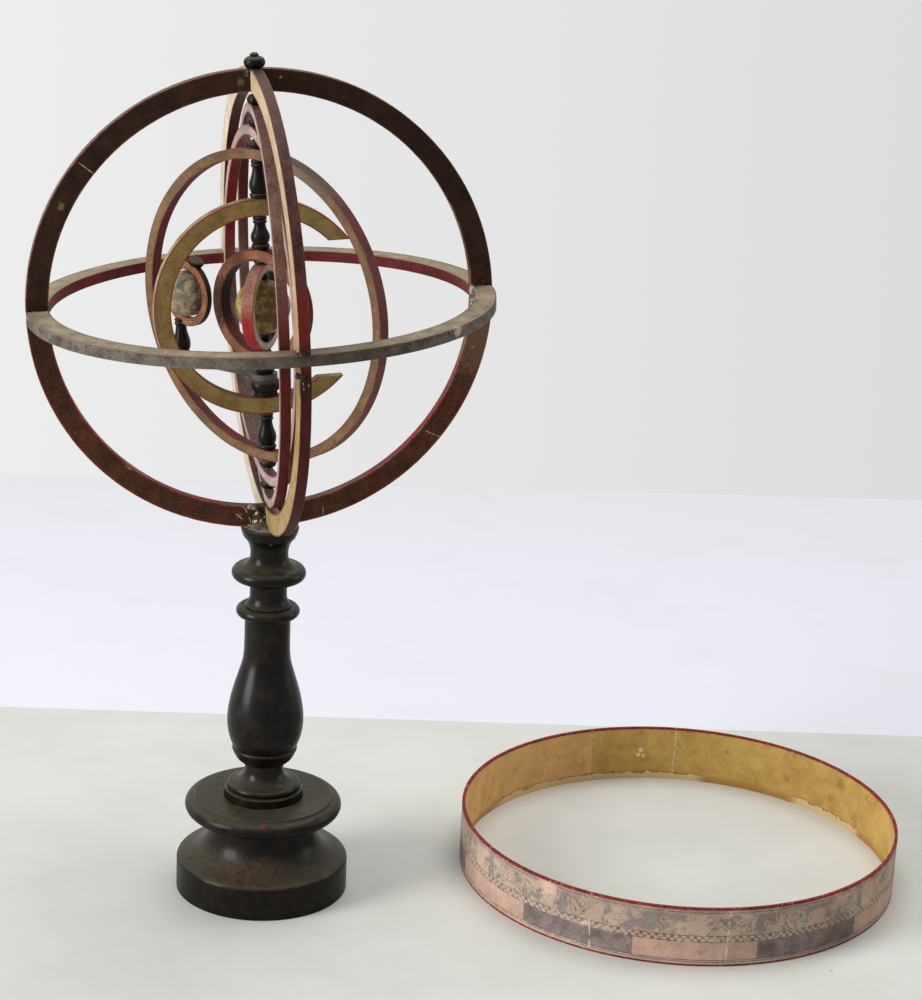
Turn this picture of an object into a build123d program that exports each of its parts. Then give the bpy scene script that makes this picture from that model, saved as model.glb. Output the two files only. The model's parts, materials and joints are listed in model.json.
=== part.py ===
from build123d import *
import os
from math import cos, hypot, pi, radians, sin, sqrt

# Armillary sphere with nested orbit rings on a turned stand, and the zodiac band that lies
# beside it. Millimetres and degrees, +Z up, origin at the centre of the foot's underside.
# +X runs along the solstitial colure.

os.makedirs("parts", exist_ok=True)

# Play between pieces

glue_play = 0.05
turn_play = 0.05
end_play = 0.3
reach_past = 2.0

# Foot: a wide turned base with a mortise for the column

foot_radius = 42.7
foot_band_height = 15.0
foot_shoulder_inset = 1.8
foot_shoulder_height = 2.4
foot_slope_run = 3.0
foot_slope_height = 1.0
foot_cove_reach = 11.3
foot_cove_height = 14.6
foot_waist_height = 7.2
foot_torus_underside = 8.4
foot_torus_inset = 3.8
foot_torus_height = 7.8
foot_torus_crown = 0.48
foot_plate_inset = 8.7
foot_plate_rise = 1.0
foot_plate_bevel = 0.9
recess_gap = 0.4
recess_depth = 1.0
tenon_radius = 9.0
tenon_length = 22.0

# Column: a vase baluster with two rings and a cup-shaped capital

flange_radius = 19.4
flange_height = 5.3
flange_bevel = 0.6
lower_torus_radius = 18.1
lower_torus_height = 3.3
lower_torus_step = 0.9
lower_torus_fall = 1.9
lower_cove_height = 7.0
lower_neck_radius = 9.6
lower_neck_height = 3.4
bowl_foot_radius = 10.9
bowl_height = 6.2
bowl_curve = 1.0
bowl_top_radius = 15.6
lip_radius = 16.1
lip_height = 2.0
vase_foot_radius = 15.5
belly_radius = 18.8
belly_rise = 16.0
vase_slope_radius = 12.75
vase_slope_rise = 26.0
vase_neck_radius = 11.2
vase_neck_rise = 15.5
vase_throat_height = 11.2
astragal_radius = 15.5
astragal_foot_radius = 12.2
astragal_top_radius = 12.0
astragal_height = 5.0
astragal_crown = 0.62
fillet_radius = 11.4
fillet_height = 0.6
middle_cove_height = 5.0
middle_neck_radius = 9.05
middle_neck_height = 4.4
ring_cove_height = 4.0
ring_foot_radius = 13.5
ring_radius = 18.1
ring_height = 6.4
ring_crown = 0.52
ring_top_radius = 15.4
upper_cove_height = 5.9
upper_neck_radius = 9.2
upper_neck_height = 1.0
cup_cove_height = 8.0
cup_foot_radius = 12.1
cup_step = 0.3
cup_height = 5.0
cup_curve = 0.3
cup_radius = 14.1
cup_rim_radius = 11.0
cup_rim_height = 2.5
seat_depth = 1.5

# Outer sphere: two colures and the ecliptic ring, lapped where they cross

sphere_lean = 3.2
colure_gap = 4.7
colure_face = 10.4
colure_thickness = 5.0
ecliptic_inset = 0.2
ecliptic_face = 10.4
ecliptic_thickness = 5.2
solstitial_turn = 0.0
equinoctial_turn = 91.8

# Polar wire and finial

wire_radius = 0.9
wire_root = 8.0
wire_stub = 3.5
finial_radius = 5.0
finial_height = 5.2
finial_end_radius = 3.2
knob_radius = 2.1
knob_height = 1.7
knob_bevel = 0.75

# Sun and orbit rings, from the middle out: the space inside each ring, the width of its face,
# its thickness and its turn about the polar axis

system_drop = 1.8
sun_radius = 13.1
mercury_gap = 3.6
mercury_face = 3.9
mercury_thickness = 5.5
mercury_turn = 61.5
venus_gap = 2.0
venus_face = 5.0
venus_thickness = 6.5
venus_turn = -47.0
meridian_clearance = 3.78
arm_overhang = 2.2
earth_face = 8.0
earth_thickness = 5.0
earth_turn = 3.0
orbit_gap_top = 30.0
arm_clearance = 0.9
mars_clearance = 0.9
mars_face = 4.8
mars_thickness = 5.5
mars_turn = -50.5
jupiter_gap = 5.3
jupiter_face = 4.8
jupiter_thickness = 5.0
jupiter_turn = 93.6
saturn_gap = 5.6
saturn_face = 4.4
saturn_thickness = 4.8
saturn_turn = 88.0

# Turned pieces on the wire

bead_radius = 4.1
bead_end_radius = 2.9
saturn_bead_height = 4.4
jupiter_bead_height = 4.1
mars_bead_height = 3.6
small_bead_radius = 3.5
small_bead_end_radius = 2.6
cone_base_radius = 2.4
cone_tip_radius = 1.4
baluster_foot_radius = 4.3
baluster_foot_height = 2.2
baluster_waist_radius = 3.3
baluster_belly_radius = 4.4
baluster_belly_rise = 4.2
baluster_neck_radius = 2.7
baluster_bead_radius = 3.3
baluster_bead_height = 1.7

# Earth's arm, hub, baluster, meridian and globe

arm_turn = 130.0
arm_thickness = 2.6
arm_width = 5.0
arm_eye_radius = 6.0
plinth_radius = 5.8
hub_bell_radius = 7.4
hub_bell_crown = 0.4
hub_neck_radius = 5.6
hub_foot_height = 2.3
hub_tenon_radius = 2.6
collar_radius = 4.6
collar_end_radius = 3.6
collar_height = 4.3
earth_baluster_girth = 0.95
peg_radius = 1.2
peg_length = 2.2
saddle_depth = 1.4
earth_tilt = 23.5
meridian_turn = -57.0
meridian_radius = 16.1
meridian_face = 4.2
meridian_thickness = 2.8
earth_radius = 11.1
earth_pin_radius = 0.6
earth_pin_root = 2.6
cap_radius = 3.9
cap_height = 3.0
cap_curve = 1.1

# Zodiac band, taken off and standing on the table

band_height = 30.5
band_slip = 0.8
band_wall = 1.6
band_distance = 61.5
band_y = -3.9

# Radii and levels about the polar axis, from the Sun out: Earth's meridian clears the ring
# inside it, and the end of its arm clears the ring outside it

tilt = radians(earth_tilt)
mercury_orbit = sun_radius + mercury_gap + mercury_face
venus_orbit = mercury_orbit + venus_gap + venus_face
arm_reach = venus_orbit + meridian_clearance + meridian_radius * (1 + sin(tilt))
arm_top = -venus_orbit - end_play - collar_height
arm_bottom = arm_top - arm_thickness
orbit_gap_bottom = arm_bottom - arm_clearance
earth_orbit = arm_reach - arm_overhang
mars_orbit = hypot(arm_reach + plinth_radius, arm_bottom) + mars_clearance + mars_face
jupiter_orbit = mars_orbit + jupiter_gap + jupiter_face
saturn_orbit = jupiter_orbit + saturn_gap + saturn_face
sphere_radius = saturn_orbit + colure_gap + colure_face
ecliptic_radius = sphere_radius - ecliptic_inset
band_bore_radius = sphere_radius + band_slip
band_x = foot_radius + band_distance + band_bore_radius + band_wall

# Radii and levels of the stand, from the table up

foot_shoulder_radius = foot_radius - foot_shoulder_inset
foot_slope_radius = foot_shoulder_radius - foot_slope_run
foot_waist_radius = foot_slope_radius - foot_cove_reach
foot_torus_radius = foot_radius - foot_torus_inset
foot_plate_radius = foot_radius - foot_plate_inset
shoulder_level = foot_band_height + foot_shoulder_height
slope_level = shoulder_level + foot_slope_height
waist_level = slope_level + foot_cove_height
torus_level = waist_level + foot_waist_height
torus_top_level = torus_level + foot_torus_height
plate_level = torus_top_level + foot_plate_rise
column_seat = plate_level - recess_depth
tenon_level = column_seat - tenon_length
flange_level = column_seat + flange_height
lower_torus_level = flange_level + lower_torus_height
lower_neck_level = lower_torus_level + lower_cove_height
bowl_level = lower_neck_level + lower_neck_height
lip_level = bowl_level + bowl_height
vase_level = lip_level + lip_height
belly_level = vase_level + belly_rise
vase_slope_level = belly_level + vase_slope_rise
vase_neck_level = vase_slope_level + vase_neck_rise
astragal_level = vase_neck_level + vase_throat_height
astragal_top_level = astragal_level + astragal_height
fillet_level = astragal_top_level + fillet_height
middle_neck_level = fillet_level + middle_cove_height
ring_cove_level = middle_neck_level + middle_neck_height
ring_level = ring_cove_level + ring_cove_height
ring_top_level = ring_level + ring_height
upper_neck_level = ring_top_level + upper_cove_height
cup_cove_level = upper_neck_level + upper_neck_height
cup_level = cup_cove_level + cup_cove_height
cup_rim_level = cup_level + cup_height
capital_top = cup_rim_level + cup_rim_height

# The sphere's own frame: it leans a little on the capital, towards -X

lean = radians(sphere_lean)
polar_axis = Vector(-sin(lean), 0, cos(lean))
level_x = Vector(cos(lean), 0, sin(lean))
level_y = Vector(0, 1, 0)
sphere_seat = Vector(0, 0, capital_top - seat_depth)
sphere_centre = sphere_seat + polar_axis * sphere_radius
system_centre = sphere_centre - polar_axis * system_drop
wire_axis = Axis(system_centre, polar_axis)


def around(turn):
    """Direction square to the polar axis, at an angle from +X."""
    angle = radians(turn)
    return level_x * cos(angle) + level_y * sin(angle)


def hoop_plane(centre, turn):
    """Plane through the polar axis: its x points outwards and its y runs up the axis."""
    outwards = around(turn)
    return Plane(origin=centre, x_dir=outwards, z_dir=outwards.cross(polar_axis))


def level_plane(centre, height=0.0):
    """Plane square to the polar axis at a height above a centre."""
    return Plane(origin=centre + polar_axis * height, x_dir=level_x, z_dir=polar_axis)


def inside_seat(orbit, face, end_radius):
    """Height at which a flat end of this radius fits inside a hoop."""
    return sqrt((orbit - face) ** 2 - end_radius**2) - end_play


def save(part, name):
    """Label a finished piece and write it under its name."""
    part.label = name
    export_step(part, f"parts/{name}.step")


def roll(low, high, widest, crown):
    """Round moulding from one point up to another, widest at a share of its height."""
    ThreePointArc(low, (widest, low[1] + (high[1] - low[1]) * crown), high)


def cove(neck, flare):
    """Hollow moulding that leaves a neck upright and flares out to another point."""
    away = 1 if flare[1] > neck[1] else -1
    TangentArc(neck, flare, tangent=(0, away))


def bead_outline(low, high, end_radius, widest, bore):
    """Half section of a flattened bead: two flat ends and a round side."""
    Polyline((end_radius, high), (bore, high), (bore, low), (end_radius, low))
    roll((end_radius, low), (end_radius, high), widest, 1 / 2)


def baluster_outline(low, high, bore, girth=1.0):
    """Half section of a small baluster: foot disc, pear-shaped body, neck and two beads."""
    foot = baluster_foot_radius * girth
    foot_end = foot - baluster_foot_height / 4
    waist = baluster_waist_radius * girth
    neck = baluster_neck_radius * girth
    bead = baluster_bead_radius * girth
    body_low = low + baluster_foot_height
    belly = (baluster_belly_radius * girth, body_low + baluster_belly_rise)
    second_bead = high - baluster_bead_height
    first_bead = second_bead - baluster_bead_height
    Polyline((neck, high), (bore, high), (bore, low), (foot_end, low))
    roll((foot_end, low), (foot_end, body_low), foot, 1 / 2)
    Line((foot_end, body_low), (waist, body_low))
    Spline((waist, body_low), belly, (neck, first_bead), tangents=[(1, 1), (0, 1)])
    roll((neck, first_bead), (neck, second_bead), bead, 1 / 2)
    roll((neck, second_bead), (neck, high), bead, 1 / 2)


# Foot

with BuildPart() as foot:
    with BuildSketch(Plane.XZ):
        with BuildLine():
            mortise_radius = tenon_radius + glue_play
            mortise_level = tenon_level - glue_play
            recess_radius = flange_radius + recess_gap
            torus_foot_radius = foot_waist_radius + foot_torus_underside
            Polyline((0, mortise_level), (0, 0), (foot_radius, 0), (foot_radius, foot_band_height))
            TangentArc(
                (foot_radius, foot_band_height), (foot_shoulder_radius, shoulder_level), tangent=(0, 1)
            )
            Line((foot_shoulder_radius, shoulder_level), (foot_slope_radius, slope_level))
            TangentArc(
                (foot_waist_radius, waist_level), (foot_slope_radius, slope_level), tangent=(0, -1)
            )
            Polyline(
                (foot_waist_radius, waist_level),
                (foot_waist_radius, torus_level),
                (torus_foot_radius, torus_level),
            )
            plate_edge = (foot_plate_radius + foot_plate_bevel, torus_top_level)
            roll((torus_foot_radius, torus_level), plate_edge, foot_torus_radius, foot_torus_crown)
            Polyline(
                plate_edge,
                (foot_plate_radius, plate_level),
                (recess_radius, plate_level),
                (recess_radius, column_seat),
                (mortise_radius, column_seat),
                (mortise_radius, mortise_level),
                (0, mortise_level),
            )
        make_face()
    revolve(axis=Axis.Z)
save(foot.part, "foot")

# Column, with a cross slot in the capital that seats the two colures

with BuildPart() as column:
    with BuildSketch(Plane.XZ):
        with BuildLine():
            torus_low = (lower_torus_radius - lower_torus_step, flange_level)
            torus_high = (lower_torus_radius - lower_torus_fall, lower_torus_level)
            bowl_top = (bowl_top_radius, lip_level)
            vase_foot = (vase_foot_radius, vase_level)
            vase_neck = (vase_neck_radius, vase_neck_level)
            astragal_foot = (astragal_foot_radius, astragal_level)
            astragal_top = (astragal_top_radius, astragal_top_level)
            fillet_edge = (fillet_radius, fillet_level)
            ring_foot = (ring_foot_radius, ring_level)
            ring_top = (ring_top_radius, ring_top_level)
            cup_arris = (cup_foot_radius, cup_level)
            cup_foot = (cup_foot_radius + cup_step, cup_level)
            cup_rim = (cup_radius, cup_rim_level)
            Polyline(
                (0, capital_top),
                (0, tenon_level),
                (tenon_radius, tenon_level),
                (tenon_radius, column_seat),
                (flange_radius, column_seat),
                (flange_radius, flange_level - flange_bevel),
                (flange_radius - flange_bevel, flange_level),
                torus_low,
            )
            roll(torus_low, torus_high, lower_torus_radius, 1 / 2)
            cove((lower_neck_radius, lower_neck_level), torus_high)
            Polyline(
                (lower_neck_radius, lower_neck_level),
                (lower_neck_radius, bowl_level),
                (bowl_foot_radius, bowl_level),
            )
            bowl_middle = (bowl_foot_radius + bowl_top_radius) / 2 + bowl_curve
            roll((bowl_foot_radius, bowl_level), bowl_top, bowl_middle, 1 / 2)
            roll(bowl_top, vase_foot, lip_radius, 1 / 2)
            Spline(
                vase_foot,
                (belly_radius, belly_level),
                (vase_slope_radius, vase_slope_level),
                vase_neck,
                tangents=[(0.5, 1), (0, 1)],
            )
            Polyline(vase_neck, (vase_neck_radius, astragal_level), astragal_foot)
            roll(astragal_foot, astragal_top, astragal_radius, astragal_crown)
            Polyline(astragal_top, (fillet_radius, astragal_top_level), fillet_edge)
            cove((middle_neck_radius, middle_neck_level), fillet_edge)
            Line((middle_neck_radius, middle_neck_level), (middle_neck_radius, ring_cove_level))
            cove((middle_neck_radius, ring_cove_level), ring_foot)
            roll(ring_foot, ring_top, ring_radius, ring_crown)
            cove((upper_neck_radius, upper_neck_level), ring_top)
            Line((upper_neck_radius, upper_neck_level), (upper_neck_radius, cup_cove_level))
            cove((upper_neck_radius, cup_cove_level), cup_arris)
            Line(cup_arris, cup_foot)
            roll(cup_foot, cup_rim, (cup_foot[0] + cup_radius) / 2 + cup_curve, 1 / 2)
            Polyline(cup_rim, (cup_rim_radius, capital_top), (0, capital_top))
        make_face()
    revolve(axis=Axis.Z)
    for slot_turn in (solstitial_turn, equinoctial_turn):
        with BuildSketch(hoop_plane(sphere_centre, slot_turn)):
            Circle(sphere_radius + glue_play)
        extrude(amount=colure_thickness / 2 + glue_play, both=True, mode=Mode.SUBTRACT)
    with BuildSketch(level_plane(sphere_seat, -wire_root - glue_play)):
        Circle(wire_radius + glue_play)
    extrude(amount=wire_root + seat_depth + reach_past, mode=Mode.SUBTRACT)
save(column.part, "column")

# Colures: the solstitial one is notched on its outer half at the poles, the equinoctial one
# on its inner half, and both on their outer half at the ecliptic

lap_radius = sphere_radius - colure_face / 2
ecliptic_notch = ecliptic_thickness + 2 * glue_play
colure_skew = radians(equinoctial_turn - solstitial_turn) - pi / 2
colure_notch = colure_thickness * (1 + abs(sin(colure_skew))) / cos(colure_skew) + 2 * glue_play
outer_lap = colure_face / 2 + reach_past
eye_radius = wire_radius + glue_play

with BuildPart() as solstitial_colure:
    with BuildSketch(hoop_plane(sphere_centre, solstitial_turn)):
        Circle(sphere_radius)
        Circle(sphere_radius - colure_face, mode=Mode.SUBTRACT)
        with Locations((0, lap_radius + outer_lap / 2), (0, -lap_radius - outer_lap / 2)):
            Rectangle(colure_notch, outer_lap, mode=Mode.SUBTRACT)
        with Locations((lap_radius + outer_lap / 2, 0), (-lap_radius - outer_lap / 2, 0)):
            Rectangle(outer_lap, ecliptic_notch, mode=Mode.SUBTRACT)
    extrude(amount=colure_thickness / 2, both=True)
    with BuildSketch(level_plane(sphere_centre)):
        Circle(eye_radius)
    extrude(amount=sphere_radius, both=True, mode=Mode.SUBTRACT)
save(solstitial_colure.part, "solstitial_colure")

with BuildPart() as equinoctial_colure:
    with BuildSketch(hoop_plane(sphere_centre, equinoctial_turn)):
        Circle(sphere_radius)
        Circle(sphere_radius - colure_face, mode=Mode.SUBTRACT)
        polar_lap = lap_radius + glue_play - outer_lap / 2
        with Locations((0, polar_lap), (0, -polar_lap)):
            Rectangle(colure_notch, outer_lap, mode=Mode.SUBTRACT)
        with Locations((lap_radius + outer_lap / 2, 0), (-lap_radius - outer_lap / 2, 0)):
            Rectangle(outer_lap, ecliptic_notch, mode=Mode.SUBTRACT)
    extrude(amount=colure_thickness / 2, both=True)
    with BuildSketch(level_plane(sphere_centre)):
        Circle(eye_radius)
    extrude(amount=sphere_radius + reach_past, both=True, mode=Mode.SUBTRACT)
save(equinoctial_colure.part, "equinoctial_colure")

with BuildPart() as ecliptic_ring:
    with BuildSketch(level_plane(sphere_centre, -ecliptic_thickness / 2)):
        Circle(ecliptic_radius)
        Circle(ecliptic_radius - ecliptic_face, mode=Mode.SUBTRACT)
        inner_lap = lap_radius + glue_play - (ecliptic_radius - ecliptic_face) + reach_past
        for lap_turn in (solstitial_turn, equinoctial_turn):
            with PolarLocations(lap_radius + glue_play - inner_lap / 2, 2, start_angle=lap_turn):
                Rectangle(inner_lap, colure_notch, mode=Mode.SUBTRACT)
    extrude(amount=ecliptic_thickness)
save(ecliptic_ring.part, "ecliptic_ring")

# Polar wire, from inside the capital to inside the finial

with BuildPart() as polar_wire:
    with BuildSketch(level_plane(sphere_seat, -wire_root)):
        Circle(wire_radius)
    extrude(amount=wire_root + 2 * sphere_radius + wire_stub)
save(polar_wire.part, "polar_wire")

with BuildPart() as finial:
    with BuildSketch(hoop_plane(sphere_centre, solstitial_turn)):
        finial_low = sphere_radius + glue_play
        finial_top = finial_low + finial_height
        stub_end = sphere_radius + wire_stub + glue_play
        with BuildLine():
            Polyline(
                (0, finial_top + knob_height),
                (0, stub_end),
                (eye_radius, stub_end),
                (eye_radius, finial_low),
                (finial_end_radius, finial_low),
            )
            roll((finial_end_radius, finial_low), (knob_radius, finial_top), finial_radius, 1 / 2)
            Polyline(
                (knob_radius, finial_top),
                (knob_radius, finial_top + knob_height - knob_bevel),
                (knob_radius - knob_bevel, finial_top + knob_height),
                (0, finial_top + knob_height),
            )
        make_face()
    revolve(axis=wire_axis)
save(finial.part, "finial")

# Orbit rings that turn on the wire

orbit_rings = {
    "saturn_ring": (saturn_orbit, saturn_face, saturn_thickness, saturn_turn),
    "jupiter_ring": (jupiter_orbit, jupiter_face, jupiter_thickness, jupiter_turn),
    "mars_ring": (mars_orbit, mars_face, mars_thickness, mars_turn),
    "venus_ring": (venus_orbit, venus_face, venus_thickness, venus_turn),
    "mercury_ring": (mercury_orbit, mercury_face, mercury_thickness, mercury_turn),
}

for name, (orbit, face, thickness, turn) in orbit_rings.items():
    with BuildPart() as orbit_ring:
        with BuildSketch(hoop_plane(system_centre, turn)):
            Circle(orbit)
            Circle(orbit - face, mode=Mode.SUBTRACT)
        extrude(amount=thickness / 2, both=True)
        with BuildSketch(level_plane(system_centre)):
            Circle(wire_radius + turn_play)
        extrude(amount=orbit, both=True, mode=Mode.SUBTRACT)
    save(orbit_ring.part, name)

# Earth's orbit ring is cut away level on one side, where the Earth and its arm pass

with BuildPart() as earth_orbit_ring:
    with BuildSketch(hoop_plane(system_centre, earth_turn)):
        Circle(earth_orbit)
        Circle(earth_orbit - earth_face, mode=Mode.SUBTRACT)
        with Locations((earth_orbit, (orbit_gap_top + orbit_gap_bottom) / 2)):
            Rectangle(2 * earth_orbit, orbit_gap_top - orbit_gap_bottom, mode=Mode.SUBTRACT)
    extrude(amount=earth_thickness / 2, both=True)
    with BuildSketch(level_plane(system_centre)):
        Circle(wire_radius + turn_play)
    extrude(amount=earth_orbit, both=True, mode=Mode.SUBTRACT)
save(earth_orbit_ring.part, "earth_orbit_ring")

# Sun

with BuildPart() as sun:
    with BuildSketch(hoop_plane(system_centre, solstitial_turn)):
        Circle(sun_radius)
        with Locations((eye_radius - sun_radius, 0)):
            Rectangle(2 * sun_radius, 3 * sun_radius, mode=Mode.SUBTRACT)
    revolve(axis=wire_axis)
save(sun.part, "sun")

# Beads that keep the rings apart on the wire

mercury_seat = inside_seat(mercury_orbit, mercury_face, small_bead_end_radius)
venus_seat = inside_seat(venus_orbit, venus_face, small_bead_end_radius)
mars_top = mars_orbit + end_play
jupiter_top = jupiter_orbit + end_play
saturn_top = saturn_orbit + end_play
small_bead = (small_bead_end_radius, small_bead_radius)
large_bead = (bead_end_radius, bead_radius)
wire_beads = {
    "sun_top_bead": (sun_radius, mercury_seat, small_bead),
    "sun_bottom_bead": (-mercury_seat, -sun_radius, small_bead),
    "mercury_top_bead": (mercury_orbit + end_play, venus_seat, small_bead),
    "mercury_bottom_bead": (-venus_seat, -mercury_orbit - end_play, small_bead),
    "mars_top_bead": (mars_top, mars_top + mars_bead_height, large_bead),
    "mars_bottom_bead": (-mars_top - mars_bead_height, -mars_top, large_bead),
    "jupiter_top_bead": (jupiter_top, jupiter_top + jupiter_bead_height, large_bead),
    "jupiter_bottom_bead": (-jupiter_top - jupiter_bead_height, -jupiter_top, large_bead),
    "saturn_top_bead": (saturn_top, saturn_top + saturn_bead_height, large_bead),
}

for name, (low, high, (end_radius, widest)) in wire_beads.items():
    with BuildPart() as wire_bead:
        with BuildSketch(hoop_plane(system_centre, solstitial_turn)):
            with BuildLine():
                bead_outline(low, high, end_radius, widest, eye_radius)
            make_face()
        revolve(axis=wire_axis)
    save(wire_bead.part, name)

# Pivot cone under the outermost orbit ring, standing on the lower crossing of the colures

with BuildPart() as pivot_cone:
    with BuildSketch(hoop_plane(system_centre, solstitial_turn)):
        crossing_radius = sphere_radius - colure_face
        cone_low = sqrt(crossing_radius**2 - cone_base_radius**2) - system_drop
        with BuildLine():
            Polyline(
                (eye_radius, -saturn_top),
                (eye_radius, -cone_low),
                (cone_base_radius, -cone_low),
                (cone_tip_radius, -saturn_top),
                close=True,
            )
        make_face()
    revolve(axis=wire_axis)
save(pivot_cone.part, "pivot_cone")

# Turned balusters that carry the inner system on the wire

mars_seat = inside_seat(mars_orbit, mars_face, baluster_foot_radius)
earth_seat = inside_seat(earth_orbit, earth_face, baluster_foot_radius)
earth_top = earth_orbit + end_play
wire_balusters = {
    "outer_baluster": (earth_top, mars_seat),
    "inner_baluster": (venus_orbit + end_play, earth_seat),
    "lower_baluster": (-mars_seat, -earth_top),
}

for name, (low, high) in wire_balusters.items():
    with BuildPart() as wire_baluster:
        with BuildSketch(hoop_plane(system_centre, solstitial_turn)):
            with BuildLine():
                baluster_outline(low, high, eye_radius)
            make_face()
        revolve(axis=wire_axis)
    save(wire_baluster.part, name)

# Earth's hub turns on the wire, inside the foot of its orbit ring

hub_low = -inside_seat(earth_orbit, earth_face, hub_neck_radius)
hub_eye = wire_radius + turn_play
bell_low = hub_low + hub_foot_height

with BuildPart() as earth_hub:
    with BuildSketch(hoop_plane(system_centre, solstitial_turn)):
        with BuildLine():
            Polyline(
                (hub_tenon_radius, arm_bottom),
                (hub_tenon_radius, arm_top),
                (hub_eye, arm_top),
                (hub_eye, hub_low),
                (hub_neck_radius, hub_low),
                (hub_neck_radius, bell_low),
            )
            roll(
                (hub_neck_radius, bell_low), (hub_neck_radius, arm_bottom), hub_bell_radius, hub_bell_crown
            )
            Line((hub_neck_radius, arm_bottom), (hub_tenon_radius, arm_bottom))
        make_face()
    revolve(axis=wire_axis)
save(earth_hub.part, "earth_hub")

with BuildPart() as hub_collar:
    with BuildSketch(hoop_plane(system_centre, solstitial_turn)):
        with BuildLine():
            collar_top = arm_top + collar_height
            bead_outline(arm_top, collar_top, collar_end_radius, collar_radius, hub_eye)
        make_face()
    revolve(axis=wire_axis)
save(hub_collar.part, "hub_collar")

# Earth's arm: a flat bar with an eye on the hub and a round plinth at its end

arm_plane = Plane(origin=system_centre + polar_axis * arm_bottom, x_dir=around(arm_turn), z_dir=polar_axis)

with BuildPart() as earth_arm:
    with BuildSketch(arm_plane):
        with Locations((arm_reach / 2, 0)):
            Rectangle(arm_reach, arm_width)
        Circle(arm_eye_radius)
        with Locations((arm_reach, 0)):
            Circle(plinth_radius)
            Circle(peg_radius + turn_play, mode=Mode.SUBTRACT)
        Circle(hub_tenon_radius + glue_play, mode=Mode.SUBTRACT)
    extrude(amount=arm_thickness)
save(earth_arm.part, "earth_arm")

# Earth's frame: the lower pole of the meridian stands over the end of the arm

tilt_direction = around(meridian_turn)
arm_end = system_centre + around(arm_turn) * arm_reach
earth_centre = arm_end + tilt_direction * (meridian_radius * sin(tilt))
earth_axis = polar_axis * cos(tilt) + tilt_direction * sin(tilt)
earth_across = tilt_direction * cos(tilt) - polar_axis * sin(tilt)
earth_plane = Plane(origin=earth_centre, x_dir=earth_across, z_dir=earth_across.cross(earth_axis))
earth_line = Axis(earth_centre, earth_axis)

with BuildPart() as earth_meridian:
    with BuildSketch(earth_plane):
        Circle(meridian_radius)
        Circle(meridian_radius - meridian_face, mode=Mode.SUBTRACT)
    extrude(amount=meridian_thickness / 2, both=True)
    with BuildSketch(Plane(origin=earth_centre, x_dir=earth_across, z_dir=earth_axis)):
        Circle(earth_pin_radius + glue_play)
    extrude(amount=meridian_radius, both=True, mode=Mode.SUBTRACT)
save(earth_meridian.part, "earth_meridian")

# Earth's baluster: a peg turns in the plinth, and a saddle holds the meridian's lower pole

baluster_top = -meridian_radius * cos(tilt) + saddle_depth

with BuildPart() as earth_baluster:
    with BuildSketch(hoop_plane(arm_end, meridian_turn)):
        with BuildLine():
            baluster_outline(arm_top + end_play, baluster_top, 0, earth_baluster_girth)
        make_face()
    revolve(axis=Axis(arm_end, polar_axis))
    with BuildSketch(level_plane(arm_end, arm_top - peg_length)):
        Circle(peg_radius)
    extrude(amount=peg_length + end_play + baluster_foot_height)
    with BuildSketch(earth_plane):
        Circle(meridian_radius + glue_play)
    extrude(amount=meridian_thickness / 2 + glue_play, both=True, mode=Mode.SUBTRACT)
    with BuildSketch(Plane(origin=earth_centre, x_dir=earth_across, z_dir=-earth_axis)):
        Circle(earth_pin_radius + glue_play)
    extrude(amount=meridian_radius + earth_pin_root + glue_play, mode=Mode.SUBTRACT)
save(earth_baluster.part, "earth_baluster")

with BuildPart() as earth_pin:
    with BuildSketch(Plane(origin=earth_centre, x_dir=earth_across, z_dir=earth_axis)):
        Circle(earth_pin_radius)
    extrude(amount=meridian_radius + earth_pin_root, both=True)
save(earth_pin.part, "earth_pin")

with BuildPart() as earth_globe:
    with BuildSketch(earth_plane):
        Circle(earth_radius)
        with Locations((earth_pin_radius + turn_play - earth_radius, 0)):
            Rectangle(2 * earth_radius, 3 * earth_radius, mode=Mode.SUBTRACT)
    revolve(axis=earth_line)
save(earth_globe.part, "earth_globe")

with BuildPart() as earth_cap:
    with BuildSketch(earth_plane):
        cap_low = meridian_radius + glue_play
        pin_top = meridian_radius + earth_pin_root + glue_play
        cap_eye = earth_pin_radius + glue_play
        cap_end = cap_radius - cap_curve
        with BuildLine():
            Polyline(
                (cap_end, cap_low + cap_height),
                (0, cap_low + cap_height),
                (0, pin_top),
                (cap_eye, pin_top),
                (cap_eye, cap_low),
                (cap_end, cap_low),
            )
            roll((cap_end, cap_low), (cap_end, cap_low + cap_height), cap_radius, 1 / 2)
        make_face()
    revolve(axis=earth_line)
save(earth_cap.part, "earth_cap")

# Zodiac band, as wide as 16 degrees of the sphere, standing beside the foot

with BuildPart() as zodiac_band:
    with BuildSketch(Plane((band_x, band_y, 0))):
        Circle(band_bore_radius + band_wall)
        Circle(band_bore_radius, mode=Mode.SUBTRACT)
    extrude(amount=band_height)
save(zodiac_band.part, "zodiac_band")
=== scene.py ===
import json
import math

import bmesh
import bpy
import numpy as np
from mathutils import Matrix, Vector, noise
from mathutils.bvhtree import BVHTree


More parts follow.
